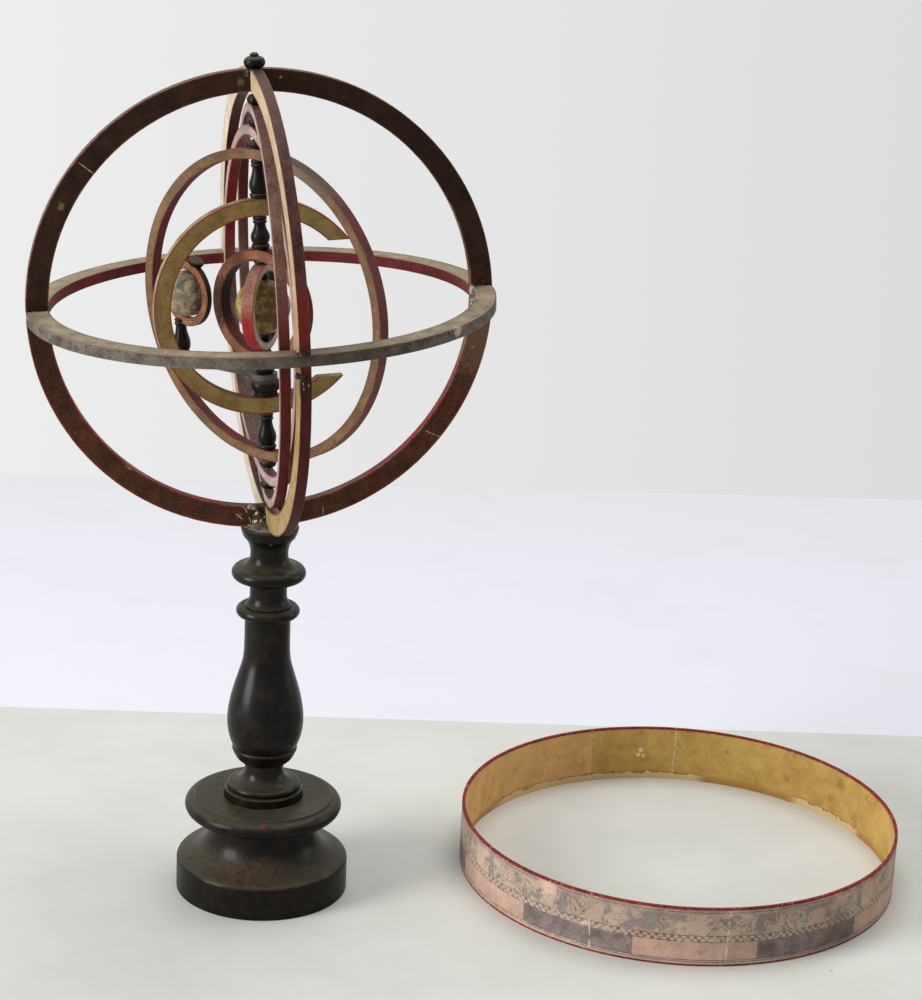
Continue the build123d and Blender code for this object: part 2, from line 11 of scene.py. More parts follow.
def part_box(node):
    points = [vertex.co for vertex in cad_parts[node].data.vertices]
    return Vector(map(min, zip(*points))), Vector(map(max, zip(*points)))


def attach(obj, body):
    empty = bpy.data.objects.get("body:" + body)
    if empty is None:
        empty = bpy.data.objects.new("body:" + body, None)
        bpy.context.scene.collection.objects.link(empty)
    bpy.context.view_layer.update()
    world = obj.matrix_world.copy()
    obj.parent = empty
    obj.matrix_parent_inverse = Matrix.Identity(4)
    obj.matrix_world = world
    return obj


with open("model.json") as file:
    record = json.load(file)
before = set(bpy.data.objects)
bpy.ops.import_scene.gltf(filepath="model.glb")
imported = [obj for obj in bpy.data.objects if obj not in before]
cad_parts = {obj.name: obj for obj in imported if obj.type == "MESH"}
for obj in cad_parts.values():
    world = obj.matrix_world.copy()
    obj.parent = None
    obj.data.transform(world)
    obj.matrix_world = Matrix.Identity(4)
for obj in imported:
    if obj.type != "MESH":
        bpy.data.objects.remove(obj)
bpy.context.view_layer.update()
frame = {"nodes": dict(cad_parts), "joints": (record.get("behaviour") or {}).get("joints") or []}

# Lengths are metres in the part's own frame, and MM turns millimetres into metres. Angles are
# degrees. Colours are 8-bit screen colours until tone makes them linear. Pixels are those of the
# photograph

MM = 0.001
IMAGE_WIDTH, IMAGE_HEIGHT = 922, 1000

# Camera, worked out from the photograph. Azimuth is the camera's place round the object, yaw is how
# far it looks past the object's axis

CAMERA_AZIMUTH = 8.44
CAMERA_DISTANCE = 1179.4 * MM
CAMERA_HEIGHT = 578.04 * MM
CAMERA_YAW = 4.45
CAMERA_PITCH = 17.50
CAMERA_ROLL = 2.7526
FOCAL_PIXELS = 2564.0
SENSOR = 24.0
CLIP_END = 30.0

# Reference points of the object, from its joints

joints = {joint["name"]: joint for joint in frame["joints"]}
polar = Vector(joints["earth_turn"]["axis"])
system_centre = Vector(joints["earth_turn"]["pos_m"])
earth_axis = Vector(joints["earth_spin"]["axis"])
earth_centre = Vector(joints["earth_spin"]["pos_m"])
backward = Vector((0, 1, 0))
up = Vector((0, 0, 1))
SYSTEM_DROP = 1.8 * MM
sphere_centre = system_centre + polar * SYSTEM_DROP


def middle(node):
    """Centre of a node's box."""
    low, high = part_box(node)
    return (Vector(low) + Vector(high)) / 2


def vertices(node):
    """A node's vertices as an array."""
    mesh = frame["nodes"][node].data
    points = np.zeros(len(mesh.vertices) * 3)
    mesh.vertices.foreach_get("co", points)
    return points.reshape(-1, 3)


# Camera

azimuth = math.radians(CAMERA_AZIMUTH)
heading = math.radians(CAMERA_AZIMUTH + CAMERA_YAW)
pitch = math.radians(CAMERA_PITCH)
roll = math.radians(CAMERA_ROLL)
level_right = Vector((math.cos(heading), -math.sin(heading), 0))
level_away = Vector((math.sin(heading), math.cos(heading), 0))
eye = Vector((-math.sin(azimuth) * CAMERA_DISTANCE, -math.cos(azimuth) * CAMERA_DISTANCE,
              CAMERA_HEIGHT))
forward = Vector((math.sin(heading) * math.cos(pitch), math.cos(heading) * math.cos(pitch),
                  -math.sin(pitch)))
level_up = level_right.cross(forward)
image_right = level_right * math.cos(roll) + level_up * math.sin(roll)
image_up = level_up * math.cos(roll) - level_right * math.sin(roll)

camera_data = bpy.data.cameras.new("camera")
camera_data.sensor_fit = "VERTICAL"
camera_data.sensor_height = SENSOR
camera_data.lens = FOCAL_PIXELS / IMAGE_HEIGHT * SENSOR
camera_data.clip_end = CLIP_END
camera = bpy.data.objects.new("camera", camera_data)
bpy.context.scene.collection.objects.link(camera)
turned = Matrix((image_right, image_up, -forward)).transposed()
camera.matrix_world = Matrix.Translation(eye) @ turned.to_4x4()
bpy.context.scene.camera = camera


def sight(x, y):
    """Direction in which the camera sees a pixel of the photograph."""
    across = (x - IMAGE_WIDTH / 2) / FOCAL_PIXELS
    down = (y - IMAGE_HEIGHT / 2) / FOCAL_PIXELS
    return (forward + image_right * across - image_up * down).normalized()


SEARCH_REACH = 25
SEARCH_STEP = 30
surfaces = {}


def seen(x, y, node):
    """Point of a node's surface behind a pixel of the photograph, or behind the nearest pixel that
    shows the node."""
    if node not in surfaces:
        mesh = frame["nodes"][node].data
        corners = [vertex.co for vertex in mesh.vertices]
        surfaces[node] = BVHTree.FromPolygons(corners, [face.vertices for face in mesh.polygons])
    for reach in range(SEARCH_REACH):
        for turn in range(0, 360, SEARCH_STEP):
            across = x + reach * math.cos(math.radians(turn))
            down = y + reach * math.sin(math.radians(turn))
            point = surfaces[node].ray_cast(eye, sight(across, down))[0]
            if point:
                return point
    raise ValueError(f"{node} isn't near pixel {x}, {y}")


# Node building


def tone(red, green, blue):
    """Linear colour of an 8-bit screen colour."""
    def linear(value):
        value /= 255
        return value / 12.92 if value <= 0.04045 else ((value + 0.055) / 1.055) ** 2.4
    return (linear(red), linear(green), linear(blue), 1)


BEVEL_SAMPLES = 4


class Nodes:
    """Nodes of one tree. Each method returns an output, and a value is a number or an output."""

    def __init__(self, tree):
        self.tree = tree
        self.coordinates = tree.nodes.new("ShaderNodeTexCoord")
        self.place = self.coordinates.outputs["Object"]

    def feed(self, socket, value):
        if isinstance(value, bpy.types.NodeSocket):
            self.tree.links.new(value, socket)
        else:
            socket.default_value = value

    def math(self, operation, first, second=0.0):
        node = self.tree.nodes.new("ShaderNodeMath")
        node.operation = operation
        self.feed(node.inputs[0], first)
        self.feed(node.inputs[1], second)
        return node.outputs[0]

    def line(self, value, slope, start):
        """value times slope plus start."""
        output = self.math("MULTIPLY_ADD", value, slope)
        output.node.inputs[2].default_value = start
        return output

    def vector(self, operation, first, second):
        node = self.tree.nodes.new("ShaderNodeVectorMath")
        node.operation = operation
        self.feed(node.inputs[0], first)
        self.feed(node.inputs[1], second)
        return node.outputs["Value" if operation in ("DOT_PRODUCT", "LENGTH", "DISTANCE") else "Vector"]

    def combine(self, x, y, z):
        node = self.tree.nodes.new("ShaderNodeCombineXYZ")
        for socket, value in zip(node.inputs, (x, y, z)):
            self.feed(socket, value)
        return node.outputs[0]

    def rise(self, value, low, high, kind="SMOOTHSTEP"):
        """0 below low, 1 above high and smooth between; with low above high it falls instead."""
        node = self.tree.nodes.new("ShaderNodeMapRange")
        node.interpolation_type = kind
        flip = low > high
        self.feed(node.inputs["Value"], value)
        node.inputs["From Min"].default_value = min(low, high)
        node.inputs["From Max"].default_value = max(low, high)
        node.inputs["To Min"].default_value = 1.0 if flip else 0.0
        node.inputs["To Max"].default_value = 0.0 if flip else 1.0
        return node.outputs[0]

    def mix(self, factor, first, second):
        node = self.tree.nodes.new("ShaderNodeMix")
        node.data_type = "RGBA"
        self.feed(node.inputs[0], factor)
        self.feed(node.inputs[6], first)
        self.feed(node.inputs[7], second)
        return node.outputs[2]

    def noise(self, size, detail=4.0, roughness=0.6, where=None, warp=0.0):
        """Cloudy noise whose blotches are about size metres across."""
        node = self.tree.nodes.new("ShaderNodeTexNoise")
        self.feed(node.inputs["Vector"], self.place if where is None else where)
        node.inputs["Scale"].default_value = 1 / size
        node.inputs["Detail"].default_value = detail
        node.inputs["Roughness"].default_value = roughness
        node.inputs["Distortion"].default_value = warp
        return node.outputs[0]

    def cells(self, size):
        """Distance to the nearest of points scattered about size metres apart."""
        node = self.tree.nodes.new("ShaderNodeTexVoronoi")
        self.feed(node.inputs["Vector"], self.place)
        node.inputs["Scale"].default_value = 1 / size
        return node.outputs["Distance"]

    def both(self, first, second):
        return self.math("MULTIPLY", first, second)

    def either(self, first, second):
        return self.math("MAXIMUM", first, second)

    def without(self, value):
        return self.math("SUBTRACT", 1.0, value)

    def near(self, point, low, high):
        """1 within low metres of a point, 0 beyond high, with a ragged edge."""
        distance = self.vector("DISTANCE", self.place, tuple(point))
        ragged = self.line(self.noise(1.6 * MM, 5.0, 0.8), 4.5 * (high - low), -2.25 * (high - low))
        return self.rise(self.math("ADD", distance, ragged), high, low)

    def crack(self, start, end, width, wander=0.0):
        """1 on a thin broken line between two points, which strays sideways by half of wander."""
        start, end = Vector(start), Vector(end)
        along = (end - start).normalized()
        offset = self.vector("SUBTRACT", self.place, tuple(start))
        if wander:
            stray = self.both(self.math("SUBTRACT", self.noise(5 * MM, 4.0, 0.6), 0.5), wander)
            offset = self.vector("ADD", offset, self.combine(stray, stray, 0.0))
        reach = self.vector("DOT_PRODUCT", offset, tuple(along))
        reach = self.math("MINIMUM", self.math("MAXIMUM", reach, 0.0), (end - start).length)
        scaled = self.vector("MULTIPLY", self.combine(reach, reach, reach), tuple(along))
        distance = self.vector("DISTANCE", offset, scaled)
        wave = self.math("SUBTRACT", self.noise(2.5 * MM, 4.0, 0.7), 0.5)
        distance = self.math("ADD", distance, self.both(self.math("ABSOLUTE", wave), 6 * width))
        return self.rise(distance, width, width * 0.4)


class Shader(Nodes):
    """One material and its nodes."""

    def __init__(self, name):
        self.material = bpy.data.materials.new(name)
        self.material.use_nodes = True
        super().__init__(self.material.node_tree)
        self.surface = self.tree.nodes["Principled BSDF"]
        self.facing = self.coordinates.outputs["Normal"]

    def patch(self, colour, point, near, far, paint, share):
        """colour with a ragged patch of paint: whole within near mm of the point, none past far mm."""
        return self.mix(self.both(self.near(point, near * MM, far * MM), share), colour, tone(*paint))

    def scratch(self, colour, start, end, width, paint, share, wander=0.0):
        """colour with a crack of paint, width mm to each side, from one point to another."""
        return self.mix(self.both(self.crack(start, end, width * MM, wander), share), colour, tone(*paint))

    def rounded(self, radius):
        """Normal of a surface whose edges are rounded by radius metres."""
        node = self.tree.nodes.new("ShaderNodeBevel")
        node.samples = BEVEL_SAMPLES
        node.inputs["Radius"].default_value = radius
        return node.outputs[0]

    def corner(self, reach):
        """1 within reach metres of a sharp edge and 0 on flat parts."""
        normal = self.tree.nodes.new("ShaderNodeNewGeometry").outputs["Normal"]
        return self.rise(self.vector("DOT_PRODUCT", self.rounded(reach), normal), 0.99, 0.94)

    def relief(self, height, depth, edge=0.0, strength=1.0):
        """Bump of a height map, depth metres deep, over edges rounded by edge metres."""
        node = self.tree.nodes.new("ShaderNodeBump")
        node.inputs["Strength"].default_value = strength
        node.inputs["Distance"].default_value = depth
        self.feed(node.inputs["Height"], height)
        if edge:
            self.feed(node.inputs["Normal"], self.rounded(edge))
        self.feed(self.surface.inputs["Normal"], node.outputs[0])

    def finish(self, colour, roughness, specular, coat=0.0, coat_roughness=0.3):
        """The material with these constants and its colour."""
        self.feed(self.surface.inputs["Base Color"], colour)
        self.feed(self.surface.inputs["Roughness"], roughness)
        self.surface.inputs["Specular IOR Level"].default_value = specular
        self.surface.inputs["Coat Weight"].default_value = coat
        self.surface.inputs["Coat Roughness"].default_value = coat_roughness
        return self.material


def dress(node, material):
    """Gives a CAD node its only material."""
    materials = frame["nodes"][node].data.materials
    materials.clear()
    materials.append(material)


# Ebonised turned wood


def ebonised(name, origin, axis, dust_and_top_light, gloss, coat, node=None, patches=(), wear=(), glue_level=None,
             haze_and_sheen=0.0, edge_wear_and_highlight=0.0):
    """Worn black stain over brown wood that was turned about an axis through origin, with dusty tops:
    dust_and_top_light is how much of what faces up is greyed by dusting, which is also painted light
    that makes those tops paler. haze_and_sheen lifts it all evenly towards grey, partly a hazy film on
    the stain and partly a painted reflection of the room; edge_wear_and_highlight makes sharp edges
    paler, partly edge wear and partly a painted highlight. patches are (pixel, near, far, colour, share)
    and wear, where the stain is chipped, is (pixel, near, far, share): each round the point of node
    behind a pixel, near and far in millimetres. Above glue_level it is smeared with glue."""
    shader = Shader(name)
    offset = shader.vector("SUBTRACT", shader.place, tuple(origin))
    height = shader.vector("DOT_PRODUCT", offset, tuple(axis))
    upward = shader.vector("DOT_PRODUCT", shader.facing, tuple(axis))
    lines = shader.noise(0.5 * MM, 2.0, 0.7, shader.combine(0.0, 0.0, height))
    clouds = shader.noise(14 * MM, 6.0, 0.62)
    grain = shader.noise(1.1 * MM, 5.0, 0.75)
    colour = shader.mix(shader.rise(clouds, 0.36, 0.7), tone(10, 9, 7), tone(27, 22, 16))
    colour = shader.mix(shader.both(shader.rise(grain, 0.55, 0.8), 0.5), colour, tone(7, 6, 6))
    brown = shader.both(shader.rise(shader.noise(7 * MM, 5.0, 0.7), 0.5, 0.72), 0.6)
    colour = shader.mix(brown, colour, tone(48, 27, 18))
    # Even lift towards grey: partly a hazy film on the stain, partly a painted reflection of the room
    colour = shader.mix(haze_and_sheen, colour, tone(78, 72, 66))
    # Paler sharp edges: partly edge wear, partly a painted highlight along the rims
    if edge_wear_and_highlight:
        edge_wear_and_highlight_mask = shader.both(shader.corner(0.5 * MM), shader.rise(clouds, 0.35, 0.6))
        colour = shader.mix(shader.both(edge_wear_and_highlight_mask, edge_wear_and_highlight), colour, tone(116, 110, 104))
    # Dust on what faces up, which also stands for painted light that makes the tops paler
    dust_and_top_light_mask = shader.both(shader.rise(upward, 0.3, 0.95), shader.rise(shader.noise(4 * MM, 5.0), 0.1, 0.55))
    dust_and_top_light_mask = shader.both(dust_and_top_light_mask, dust_and_top_light)
    colour = shader.mix(dust_and_top_light_mask, colour, tone(94, 88, 70))
    specks = shader.rise(shader.noise(0.6 * MM, 3.0, 0.8), 0.7, 0.76)
    colour = shader.mix(shader.both(specks, 0.35), colour, tone(110, 96, 78))
    chips = shader.rise(shader.noise(0.7 * MM, 4.0, 0.9, warp=1.2), 0.545, 0.585)
    pale = shader.rise(shader.noise(2.0 * MM, 3.0, 0.8), 0.5, 0.6)
    for pixel, near, far, share in wear:
        chipped = shader.near(seen(*pixel, node), near * MM, far * MM)
        chipped = shader.both(shader.both(chips, chipped), share)
        chipped = shader.both(chipped, shader.rise(upward, 0.15, 0.5))
        colour = shader.mix(chipped, colour, shader.mix(pale, tone(108, 58, 46), tone(128, 104, 84)))
    for pixel, near, far, paint, share in patches:
        colour = shader.patch(colour, seen(*pixel, node), near, far, paint, share)
    rough = shader.either(shader.line(clouds, 0.2, gloss - 0.06), shader.both(dust_and_top_light_mask, 0.8))
    if glue_level:
        smear = shader.math("ADD", height, shader.both(shader.noise(4 * MM, 5.0, 0.7), 2 * MM))
        smear = shader.rise(smear, glue_level + 1 * MM, glue_level + 1.4 * MM)
        glue = shader.mix(grain, tone(96, 88, 78), tone(150, 140, 122))
        colour = shader.mix(shader.both(smear, 0.85), colour, glue)
    height_map = shader.math("ADD", shader.both(lines, 0.5), shader.both(grain, 0.35))
    shader.relief(height_map, 0.08 * MM, 0.4 * MM, 0.5)
    return shader.finish(colour, rough, 0.06, coat, 0.22)


# Pasteboard hoops: printed paper on the two faces, painted rims, all worn and grimy

LOWER_LEVEL = 12 * MM
RAGGED = 0.9 * MM
INK = (16, 12, 10)


def hoop_shape(node, centre):
    """Front normal, inner and outer radius and thickness of a hoop about a centre, in metres."""
    points = vertices(node) - np.array(centre)
    normal = Vector(np.linalg.svd(points, full_matrices=False)[2][2])
    if normal.dot(eye - centre) < 0:
        normal = -normal
    off_plane = points @ np.array(normal)
    radius = np.linalg.norm(points - np.outer(off_plane, normal), axis=1)
    return normal, radius.min(), radius.max(), 2 * np.abs(off_plane).max()


def paint_hoop(node, centre, front, back, rim, inside, border, stain, lower=None, low_border=None,
               low_level=LOWER_LEVEL, far_front=None, print_depth=0.5, ticks=0.0, worn_print=0.0,
               patches=(), edge_patches=(), cracks=(), rough=0.62, rubbed_edge_and_highlight=0.5):
    """Dresses a hoop about a centre. front, back, rim and inside are pairs of colours that mix in
    clouds, and border lines both faces; lower replaces front, rim and inside below low_level above
    the centre, low_border replaces border there, and far_front replaces front on the half away from
    the front of the object. stain, print_depth, ticks, worn_print and rubbed_edge_and_highlight are shares.
    patches, and edge_patches on rim and inside only, are (pixel, near, far, colour, share), and
    cracks are (pixel, pixel, width), in millimetres round what the pixels show."""
    shader = Shader(node + "_paint")
    normal, inner, outer, thickness = hoop_shape(node, centre)
    along = polar if abs(normal.dot(polar)) < 0.5 else backward
    across = along.cross(normal)
    offset = shader.vector("SUBTRACT", shader.place, tuple(centre))
    u = shader.vector("DOT_PRODUCT", offset, tuple(across))
    v = shader.vector("DOT_PRODUCT", offset, tuple(along))
    w = shader.vector("DOT_PRODUCT", offset, tuple(normal))
    radius = shader.math("SQRT", shader.math("ADD", shader.both(u, u), shader.both(v, v)))
    angle = shader.math("ARCTAN2", v, u)
    slope = shader.vector("DOT_PRODUCT", shader.facing, tuple(normal))
    flat = shader.rise(shader.math("ABSOLUTE", slope), 0.6, 0.8)
    is_front = shader.rise(w, -0.1 * MM, 0.1 * MM)
    is_outer = shader.rise(radius, (inner + outer) / 2 - 0.1 * MM, (inner + outer) / 2 + 0.1 * MM)
    clouds = shader.noise(9 * MM, 6.0, 0.65)
    fine = shader.noise(1.3 * MM, 5.0, 0.72)
    blend = shader.rise(shader.math("ADD", shader.both(clouds, 0.6), shader.both(fine, 0.4)), 0.38, 0.62)

    def pair(colours):
        return shader.mix(blend, tone(*colours[0]), tone(*colours[1]))

    front_colour, rim_colour, inside_colour = pair(front), pair(rim), pair(inside)
    line_colour = tone(*border)
    if lower:
        fade = 0.3 * outer
        low_part = shader.math("ADD", v, shader.both(clouds, 2 * fade))
        low_part = shader.rise(low_part, low_level + fade, low_level - fade)
        front_colour = shader.mix(low_part, front_colour, pair(lower[0]))
        rim_colour = shader.mix(low_part, rim_colour, pair(lower[1]))
        inside_colour = shader.mix(low_part, inside_colour, pair(lower[2]))
        if low_border:
            line_colour = shader.mix(low_part, line_colour, tone(*low_border))
    if far_front:
        far_part = shader.rise(shader.vector("DOT_PRODUCT", offset, (0, 1, 0)), -10 * MM, 20 * MM)
        front_colour = shader.mix(far_part, front_colour, pair(far_front))
    face = shader.mix(is_front, pair(back), front_colour)
    edge = shader.mix(is_outer, inside_colour, rim_colour)
    for pixel, near, far, paint, share in edge_patches:
        edge = shader.patch(edge, seen(*pixel, node), near, far, paint, share)

    # Border, scale line and ticks on the faces
    from_rim = shader.math("SUBTRACT", outer, radius)
    from_bore = shader.math("SUBTRACT", radius, inner)
    to_side = shader.math("MINIMUM", from_rim, from_bore)
    wander = shader.both(shader.math("SUBTRACT", fine, 0.5), RAGGED)
    bordered = shader.rise(shader.math("ADD", to_side, wander), 0.8 * MM, 0.4 * MM)
    face = shader.mix(shader.both(bordered, 0.9), face, line_colour)
    if ticks:
        degrees = shader.both(angle, 180 / math.pi)
        step = shader.math("ABSOLUTE", shader.math("SUBTRACT", shader.math("FRACT", degrees), 0.5))
        tick = shader.rise(step, 0.36, 0.42)
        line_place = min(2.15 * MM, 0.37 * (outer - inner))
        band = shader.both(shader.rise(to_side, 0.42 * line_place, 0.5 * line_place),
                           shader.rise(to_side, 0.98 * line_place, 0.88 * line_place))
        line = shader.rise(shader.math("ABSOLUTE", shader.math("SUBTRACT", to_side, line_place)),
                           0.22 * MM, 0.1 * MM)
        printed = shader.either(shader.both(tick, band), line)
        printed = shader.both(printed, shader.rise(fine, 0.25, 0.55))
        face = shader.mix(shader.both(printed, ticks), face, tone(*INK))

    # Worn print along the middle, engraved specks, stains and rubbed edges, which also carry a painted
    # highlight
    if worn_print:
        blotted = shader.rise(shader.noise(2.4 * MM, 4.0, 0.75, warp=1.5), 0.51, 0.6)
        blotted = shader.both(blotted, shader.rise(to_side, 0.22 * (outer - inner), 0.32 * (outer - inner)))
        face = shader.mix(shader.both(blotted, worn_print), face, tone(24, 14, 11))
    specks = shader.rise(shader.noise(0.55 * MM, 3.0, 0.8), 0.56, 0.7)
    face = shader.mix(shader.both(specks, print_depth * 0.5), face, tone(22, 15, 12))
    colour = shader.mix(flat, edge, face)
    blots = shader.rise(shader.noise(5 * MM, 6.0, 0.7, warp=0.6), 0.56, 0.74)
    colour = shader.mix(shader.both(blots, stain), colour, tone(30, 18, 14))
    streaks = shader.noise(0.7 * MM, 4.0, 0.8, shader.combine(angle, shader.both(w, 0.2), 0.0))
    streaks = shader.rise(streaks, 0.6, 0.8)
    streaks = shader.both(shader.both(streaks, shader.without(flat)), 0.5)
    colour = shader.mix(streaks, colour, tone(24, 16, 14))
    to_face = shader.math("SUBTRACT", thickness / 2, shader.math("ABSOLUTE", w))
    to_corner = shader.either(to_face, to_side)
    # Paler corners: rubbing of the paper, and also a painted highlight along the edges
    rubbed_edge_and_highlight_mask = shader.both(shader.rise(shader.math("ADD", to_corner, wander), 0.42 * MM, 0.1 * MM),
                         shader.rise(clouds, 0.42, 0.6))
    colour = shader.mix(shader.both(rubbed_edge_and_highlight_mask, rubbed_edge_and_highlight), colour, tone(158, 140, 96))
    for pixel, near, far, paint, share in patches:
        colour = shader.patch(colour, seen(*pixel, node), near, far, paint, share)
    for start, end, width in cracks:
        colour = shader.scratch(colour, seen(*start, node), seen(*end, node), width, (206, 196, 170), 0.9)
    chips = shader.rise(shader.noise(0.8 * MM, 3.0, 0.85, warp=2.0), 0.7, 0.76)
    colour = shader.mix(shader.both(chips, 0.5), colour, tone(150, 130, 100))
    shader.relief(shader.math("ADD", fine, shader.both(clouds, 1.5)), 0.22 * MM, 0.45 * MM, 0.55)
    dress(node, shader.finish(colour, shader.line(clouds, -0.25, rough + 0.12), 0.12))


# Pairs of colours for the hoops

BROWN = ((34, 25, 17), (64, 36, 26))
REDDISH_BROWN = ((55, 35, 22), (94, 53, 34))
DARK_MAROON = ((56, 22, 20), (84, 30, 28))
BRIGHT_RED = ((132, 28, 26), (98, 20, 22))
RED_MAROON = ((104, 36, 34), (72, 26, 26))
DULL_RED = ((124, 70, 60), (92, 44, 38))
PINKISH_BROWN = ((136, 104, 92), (98, 62, 56))
PURPLE_GREY = ((94, 60, 54), (60, 32, 30))
CREAM = ((190, 172, 136), (166, 138, 102))
PALE_CREAM = ((206, 194, 168), (178, 160, 128))
YELLOW_CREAM = ((168, 144, 96), (138, 110, 70))
PINK_GREY = ((170, 154, 144), (140, 114, 106))
OLIVE_GOLD = ((134, 106, 72), (100, 78, 54))
KHAKI = ((152, 128, 78), (122, 96, 56))
KHAKI_RIM = ((164, 146, 112), (120, 70, 56))
PEACH = ((152, 102, 72), (112, 68, 48))
PALE_PEACH = ((168, 114, 88), (120, 74, 56))
DARK_BROWN = ((48, 26, 20), (28, 15, 13))
RED_PINK = ((172, 46, 46), (126, 28, 30))
GREY_PINK = ((164, 116, 102), (122, 78, 68))
GREY_BEIGE = ((172, 156, 130), (132, 118, 98))
GREY_GREEN = ((116, 107, 96), (68, 60, 53))
MAROON = ((116, 38, 40), (80, 28, 28))
DEEP_MAROON = ((80, 27, 25), (58, 21, 20))
GREY_BROWN = ((118, 96, 84), (84, 64, 54))
COLURE_RIM = ((112, 70, 52), (70, 38, 30))
RED_BROWN = ((124, 48, 46), (86, 34, 34))
MARS_RIM = ((116, 56, 52), (86, 50, 44))
TERRACOTTA = ((176, 122, 88), (124, 76, 56))
MERIDIAN_RIM = ((62, 44, 38), (40, 30, 28))
RED_LINE = (140, 34, 34)

OLIVE = (118, 112, 58)
OLD_GLUE = (44, 40, 34)

paint_hoop(
    "solstitial_colure", sphere_centre, BROWN, BROWN, COLURE_RIM, DARK_MAROON, (84, 30, 24), 0.45,
    lower=(REDDISH_BROWN, BRIGHT_RED, BRIGHT_RED), low_border=(136, 38, 30), ticks=0.5, rough=0.42,
    print_depth=0.7, rubbed_edge_and_highlight=0.75, worn_print=0.6,
    edge_patches=[((300, 508), 28, 48, (88, 74, 64), 0.8)],
    patches=[((61, 207), 0.8, 2.2, OLIVE, 0.8), ((241, 82), 0.8, 2.2, (104, 98, 50), 0.8),
             ((240, 515), 0.1, 1.6, (120, 104, 84), 0.6), ((258, 516), 4, 7, OLD_GLUE, 0.9),
             ((262, 520), 1.2, 2.6, (220, 182, 116), 0.95), ((473, 347), 0.2, 1.1, (150, 138, 118), 0.7),
             ((281, 77), 0.4, 0.9, (150, 134, 110), 0.8), ((475, 335), 10, 26, (128, 98, 76), 0.5)],
    cracks=[((79, 163), (97, 174), 0.3), ((426, 431), (441, 437), 0.25), ((126, 466), (131, 470), 0.25),
            ((323, 507), (323, 514), 0.25), ((243, 506), (247, 512), 0.35), ((236, 514), (242, 519), 0.3),
            ((249, 517), (251, 523), 0.3)])
paint_hoop(
    "equinoctial_colure", sphere_centre, CREAM, PALE_CREAM, PURPLE_GREY, DARK_MAROON, (140, 50, 40), 0.25,
    lower=(YELLOW_CREAM, DEEP_MAROON, GREY_BROWN), low_level=45 * MM, far_front=PALE_CREAM,
    print_depth=0.15, rough=0.45, edge_patches=[((303, 330), 12, 20, (116, 32, 30), 0.75)],
    patches=[((305, 388), 2.5, 6, (40, 28, 24), 0.75), ((306, 350), 2, 4, (60, 34, 28), 0.7)],
    cracks=[((303, 382), (304, 390), 0.3), ((309, 384), (308, 388), 0.25)])
paint_hoop(
    "ecliptic_ring", sphere_centre, GREY_BEIGE, OLIVE_GOLD, GREY_GREEN, RED_BROWN, (112, 86, 70), 0.35,
    ticks=0.3,
    patches=[((458, 330), 1.4, 3.6, (206, 184, 170), 0.8), ((474, 300), 1.5, 3, (122, 112, 74), 0.6),
             ((330, 366), 22, 34, (78, 64, 54), 0.45)])
paint_hoop(
    "saturn_ring", system_centre, PINK_GREY, PINK_GREY, PINKISH_BROWN, DARK_MAROON, (126, 60, 54), 0.35,
    lower=(PINK_GREY, RED_MAROON, GREY_BROWN), low_level=50 * MM, rough=0.45)
paint_hoop(
    "jupiter_ring", system_centre, PINK_GREY, PINK_GREY, PINKISH_BROWN, BRIGHT_RED, RED_LINE, 0.3,
    lower=(PINK_GREY, RED_MAROON, GREY_BROWN), low_level=30 * MM, rough=0.45)
paint_hoop(
    "mars_ring", system_centre, OLIVE_GOLD, OLIVE_GOLD, MARS_RIM, MAROON, (112, 44, 36), 0.4,
    ticks=0.35, rough=0.45, patches=[((318, 170), 12, 22, (104, 92, 80), 0.6)])
paint_hoop(
    "earth_orbit_ring", system_centre, KHAKI, KHAKI, KHAKI_RIM, OLIVE_GOLD, (132, 44, 36), 0.25, rough=0.5)
# The very dark patch at venus_ring's left end is painted shade
paint_hoop(
    "venus_ring", system_centre, PEACH, PEACH, MAROON, DARK_BROWN, (108, 44, 34), 0.4,
    lower=(PALE_PEACH, MAROON, DULL_RED), patches=[((223, 300), 7, 15, (27, 17, 14), 0.85)])
paint_hoop(
    "mercury_ring", system_centre, CREAM, CREAM, GREY_PINK, DARK_BROWN, RED_LINE, 0.3,
    lower=(PALE_CREAM, RED_PINK, DARK_BROWN), low_level=8 * MM, rough=0.4)
paint_hoop(
    "earth_meridian", earth_centre, TERRACOTTA, PEACH, MERIDIAN_RIM, PEACH, (104, 48, 38), 0.6,
    ticks=0.8, print_depth=0.9)

# Turned pieces

BLACK = (0, 0, 0)
CRACK = (4, 4, 4)
RED_CHIP = (142, 50, 38)

dress("foot", ebonised(
    "foot_wood", Vector(), up, 0.5, 0.36, 0.12, node="foot", haze_and_sheen=0.03, edge_wear_and_highlight=0.5,
    patches=[((224, 830), 1.2, 1.5, BLACK, 1.0), ((262, 826), 0.7, 1.5, (140, 44, 32), 0.9)]
    + [(pixel, 0.3, 1.2, RED_CHIP, 0.7)
       for pixel in ((225, 882), (254, 887), (276, 887), (248, 873), (188, 849))],
    wear=[(pixel, 4, 16, 0.65) for pixel in ((226, 870), (248, 875), (272, 882))]
    + [(pixel, 1, 7, 0.6) for pixel in ((193, 846), (205, 822), (300, 880))]))
dress("column", ebonised(
    "column_wood", Vector(), up, 0.45, 0.34, 0.2, node="column",
    glue_level=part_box("column")[1][2] - 1.8 * MM,
    patches=[(pixel, 0.4, 0.9, CRACK, 0.95) for pixel in ((236, 802), (238, 799), (263, 804), (263, 806))]
    + [((271, 545), 0.5, 1.3, (120, 84, 62), 0.8)]))
bead_wood = ebonised("bead_wood", system_centre, polar, 0.8, 0.32, 0.12)
for name in frame["nodes"]:
    if name.endswith(("_bead", "_baluster")) or name in (
            "finial", "pivot_cone", "earth_hub", "hub_collar"):
        dress(name, bead_wood)
dress("earth_cap", ebonised("cap_wood", earth_centre, earth_axis, 1.0, 0.4, 0.1))


